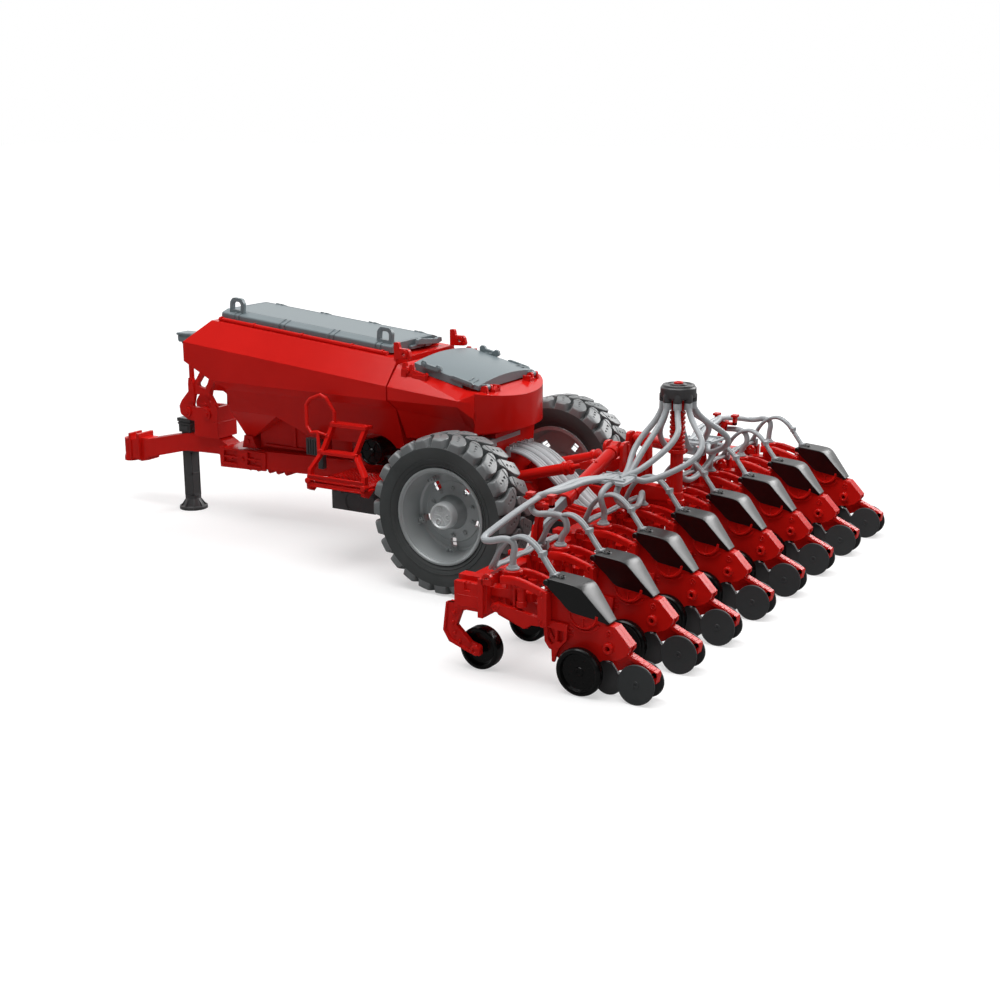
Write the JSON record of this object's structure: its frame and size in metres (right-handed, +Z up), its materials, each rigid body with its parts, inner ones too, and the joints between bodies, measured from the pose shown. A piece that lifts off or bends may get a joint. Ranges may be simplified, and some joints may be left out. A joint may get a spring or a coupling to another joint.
{
  "type": "precision seeder model",
  "caption": "Scale model of a towed precision seeder: two covered hoppers on a drawbar chassis, lifting toolbar with folding wings, row units, hoses and turning wheels.",
  "frame": {"origin": "centre of the bounding box on the floor under the wheels", "axes": "+X forward to the hitch, +Y to the left, +Z up"},
  "size_m": [0.619, 0.4402, 0.1898],
  "materials": {
    "red_plastic": "glossy moulded plastic",
    "black_plastic": "satin moulded plastic",
    "lid_plastic": "satin slate-grey plastic",
    "hose_plastic": "soft light-grey plastic",
    "tyre_rubber": "matt soft tyre",
    "rim_plastic": "silver-grey plastic",
    "rod_chrome": "plated rod",
    "wheel_black": "satin black plastic"
  },
  "bodies": {
    "chassis": {"chassis_frame": "red_plastic", "axle": "red_plastic", "front_tank": "red_plastic", "rear_hopper": "red_plastic", "platform": "red_plastic", "front_bracket": "red_plastic", "toolbox": "black_plastic", "fan_housing": "black_plastic", "hose_bundle": "hose_plastic"},
    "front_lid_body": {"front_lid": "lid_plastic"},
    "rear_lid_body": {"rear_lid": "lid_plastic"},
    "wheel_left": {"tyre_left": "tyre_rubber", "rim_left": "rim_plastic"},
    "wheel_right": {"tyre_right": "tyre_rubber", "rim_right": "rim_plastic"},
    "jack": {"parking_jack": "black_plastic"},
    "toolbar": {"toolbar_centre": "red_plastic", "distributor_mast": "red_plastic", "distributor_head": "black_plastic", "row_frames_centre": "red_plastic", "row_hoods_centre": "black_plastic", "furrow_openers_centre": "black_plastic", "hoses_centre": "hose_plastic", "hoses_left": "hose_plastic", "hoses_right": "hose_plastic"},
    "wing_left": {"toolbar_left": "red_plastic", "row_frames_left": "red_plastic", "row_hoods_left": "black_plastic", "furrow_openers_left": "black_plastic"},
    "wing_right": {"toolbar_right": "red_plastic", "row_frames_right": "red_plastic", "row_hoods_right": "black_plastic", "furrow_openers_right": "black_plastic"},
    "lift_barrel_body": {"lift_barrels": "red_plastic"},
    "lift_rod_body": {"lift_rods": "red_plastic"},
    "fold_barrel_left_body": {"fold_barrel_left": "red_plastic"},
    "fold_rod_left_body": {"fold_rod_left": "rod_chrome"},
    "fold_barrel_right_body": {"fold_barrel_right": "red_plastic"},
    "fold_rod_right_body": {"fold_rod_right": "rod_chrome"},
    "gauge_1": {"gauge_wheels_1": "wheel_black"},
    "closing_1": {"closing_discs_1": "wheel_black"},
    "gauge_2": {"gauge_wheels_2": "wheel_black"},
    "closing_2": {"closing_discs_2": "wheel_black"},
    "gauge_3": {"gauge_wheels_3": "wheel_black"},
    "closing_3": {"closing_discs_3": "wheel_black"},
    "gauge_4": {"gauge_wheels_4": "wheel_black"},
    "closing_4": {"closing_discs_4": "wheel_black"},
    "gauge_5": {"gauge_wheels_5": "wheel_black"},
    "closing_5": {"closing_discs_5": "wheel_black"},
    "gauge_6": {"gauge_wheels_6": "wheel_black"},
    "closing_6": {"closing_discs_6": "wheel_black"},
    "gauge_7": {"gauge_wheels_7": "wheel_black"},
    "closing_7": {"closing_discs_7": "wheel_black"},
    "gauge_8": {"gauge_wheels_8": "wheel_black"},
    "closing_8": {"closing_discs_8": "wheel_black"},
    "support_1": {"support_wheel_1": "wheel_black"},
    "support_2": {"support_wheel_2": "wheel_black"},
    "support_3": {"support_wheel_3": "wheel_black"},
    "support_4": {"support_wheel_4": "wheel_black"}
  },
  "joints": [
    {"name": "wheel_left_spin", "type": "hinge", "parent": "chassis", "child": "wheel_left", "pos_m": [-0.0862, 0.082, 0.0575], "axis": [0, 1, 0], "continuous": true},
    {"name": "wheel_right_spin", "type": "hinge", "parent": "chassis", "child": "wheel_right", "pos_m": [-0.0862, -0.082, 0.0575], "axis": [0, 1, 0], "continuous": true},
    {"name": "front_lid_hinge", "type": "hinge", "parent": "chassis", "child": "front_lid_body", "pos_m": [0.16867, -0.034, 0.17339], "axis": [0.9957, 0, 0.0921], "range_deg": [0, 100]},
    {"name": "rear_lid_hinge", "type": "hinge", "parent": "chassis", "child": "rear_lid_body", "pos_m": [-0.086, 0, 0.13992], "axis": [0, -1, 0], "range_deg": [0, 95]},
    {"name": "jack_slide", "type": "slide", "parent": "chassis", "child": "jack", "axis": [0, 0, 1], "range_m": [0, 0.034]},
    {"name": "toolbar_lift", "type": "hinge", "parent": "chassis", "child": "toolbar", "pos_m": [-0.1132, 0, 0.056], "axis": [0, 1, 0], "range_deg": [0, 12], "deforming": ["hose_bundle"]},
    {"name": "wing_left_fold", "type": "hinge", "parent": "toolbar", "child": "wing_left", "pos_m": [-0.1842, 0.118, 0.061], "axis": [1, 0, 0], "range_deg": [0, 90], "deforming": ["hoses_left"]},
    {"name": "wing_right_fold", "type": "hinge", "parent": "toolbar", "child": "wing_right", "pos_m": [-0.1842, -0.118, 0.061], "axis": [-1, 0, 0], "range_deg": [0, 90], "deforming": ["hoses_right"]},
    {"name": "lift_barrel_swing", "type": "hinge", "parent": "chassis", "child": "lift_barrel_body", "pos_m": [-0.1002, 0, 0.072], "axis": [0, 1, 0], "range_deg": [0, 11.36]},
    {"name": "lift_rod_slide", "type": "slide", "parent": "lift_barrel_body", "child": "lift_rod_body", "axis": [-0.9646, 0, 0.2638], "range_m": [-0.00459, 0]},
    {"name": "fold_barrel_left_swing", "type": "hinge", "parent": "toolbar", "child": "fold_barrel_left_body", "pos_m": [-0.1842, 0.019, 0.103], "axis": [1, 0, 0], "range_deg": [-5.47, 0]},
    {"name": "fold_rod_left_slide", "type": "slide", "parent": "fold_barrel_left_body", "child": "fold_rod_left_body", "axis": [0, 0.9605, -0.2783], "range_m": [-0.01756, 0]},
    {"name": "fold_barrel_right_swing", "type": "hinge", "parent": "toolbar", "child": "fold_barrel_right_body", "pos_m": [-0.1842, -0.019, 0.103], "axis": [-1, 0, 0], "range_deg": [-5.47, 0]},
    {"name": "fold_rod_right_slide", "type": "slide", "parent": "fold_barrel_right_body", "child": "fold_rod_right_body", "axis": [0, -0.9605, -0.2783], "range_m": [-0.01756, 0]},
    {"name": "gauge_1_spin", "type": "hinge", "parent": "wing_left", "child": "gauge_1", "pos_m": [-0.2624, 0.2065, 0.015], "axis": [0, 1, 0], "continuous": true},
    {"name": "closing_1_spin", "type": "hinge", "parent": "wing_left", "child": "closing_1", "pos_m": [-0.2975, 0.2065, 0.012], "axis": [0, 1, 0], "continuous": true},
    {"name": "gauge_2_spin", "type": "hinge", "parent": "wing_left", "child": "gauge_2", "pos_m": [-0.2624, 0.1475, 0.015], "axis": [0, 1, 0], "continuous": true},
    {"name": "closing_2_spin", "type": "hinge", "parent": "wing_left", "child": "closing_2", "pos_m": [-0.2975, 0.1475, 0.012], "axis": [0, 1, 0], "continuous": true},
    {"name": "gauge_3_spin", "type": "hinge", "parent": "toolbar", "child": "gauge_3", "pos_m": [-0.2624, 0.0885, 0.015], "axis": [0, 1, 0], "continuous": true},
    {"name": "closing_3_spin", "type": "hinge", "parent": "toolbar", "child": "closing_3", "pos_m": [-0.2975, 0.0885, 0.012], "axis": [0, 1, 0], "continuous": true},
    {"name": "gauge_4_spin", "type": "hinge", "parent": "toolbar", "child": "gauge_4", "pos_m": [-0.2624, 0.0295, 0.015], "axis": [0, 1, 0], "continuous": true},
    {"name": "closing_4_spin", "type": "hinge", "parent": "toolbar", "child": "closing_4", "pos_m": [-0.2975, 0.0295, 0.012], "axis": [0, 1, 0], "continuous": true},
    {"name": "gauge_5_spin", "type": "hinge", "parent": "toolbar", "child": "gauge_5", "pos_m": [-0.2624, -0.0295, 0.015], "axis": [0, 1, 0], "continuous": true},
    {"name": "closing_5_spin", "type": "hinge", "parent": "toolbar", "child": "closing_5", "pos_m": [-0.2975, -0.0295, 0.012], "axis": [0, 1, 0], "continuous": true},
    {"name": "gauge_6_spin", "type": "hinge", "parent": "toolbar", "child": "gauge_6", "pos_m": [-0.2624, -0.0885, 0.015], "axis": [0, 1, 0], "continuous": true},
    {"name": "closing_6_spin", "type": "hinge", "parent": "toolbar", "child": "closing_6", "pos_m": [-0.2975, -0.0885, 0.012], "axis": [0, 1, 0], "continuous": true},
    {"name": "gauge_7_spin", "type": "hinge", "parent": "wing_right", "child": "gauge_7", "pos_m": [-0.2624, -0.1475, 0.015], "axis": [0, 1, 0], "continuous": true},
    {"name": "closing_7_spin", "type": "hinge", "parent": "wing_right", "child": "closing_7", "pos_m": [-0.2975, -0.1475, 0.012], "axis": [0, 1, 0], "continuous": true},
    {"name": "gauge_8_spin", "type": "hinge", "parent": "wing_right", "child": "gauge_8", "pos_m": [-0.2624, -0.2065, 0.015], "axis": [0, 1, 0], "continuous": true},
    {"name": "closing_8_spin", "type": "hinge", "parent": "wing_right", "child": "closing_8", "pos_m": [-0.2975, -0.2065, 0.012], "axis": [0, 1, 0], "continuous": true},
    {"name": "support_1_spin", "type": "hinge", "parent": "wing_left", "child": "support_1", "pos_m": [-0.1882, 0.2065, 0.0136], "axis": [0, 1, 0], "continuous": true},
    {"name": "support_2_spin", "type": "hinge", "parent": "wing_left", "child": "support_2", "pos_m": [-0.1882, 0.1475, 0.0136], "axis": [0, 1, 0], "continuous": true},
    {"name": "support_3_spin", "type": "hinge", "parent": "wing_right", "child": "support_3", "pos_m": [-0.1882, -0.1475, 0.0136], "axis": [0, 1, 0], "continuous": true},
    {"name": "support_4_spin", "type": "hinge", "parent": "wing_right", "child": "support_4", "pos_m": [-0.1882, -0.2065, 0.0136], "axis": [0, 1, 0], "continuous": true}
  ],
  "couplings": [
    {"joint": "lift_barrel_swing", "follows": "toolbar_lift", "ratio": 0.90529},
    {"joint": "lift_rod_slide", "follows": "toolbar_lift", "m_per_rad": -0.019531},
    {"joint": "fold_barrel_left_swing", "follows": "wing_left_fold", "ratio": -0.05519},
    {"joint": "fold_rod_left_slide", "follows": "wing_left_fold", "m_per_rad": -0.010861},
    {"joint": "fold_barrel_right_swing", "follows": "wing_right_fold", "ratio": -0.05519},
    {"joint": "fold_rod_right_slide", "follows": "wing_right_fold", "m_per_rad": -0.010861}
  ]
}
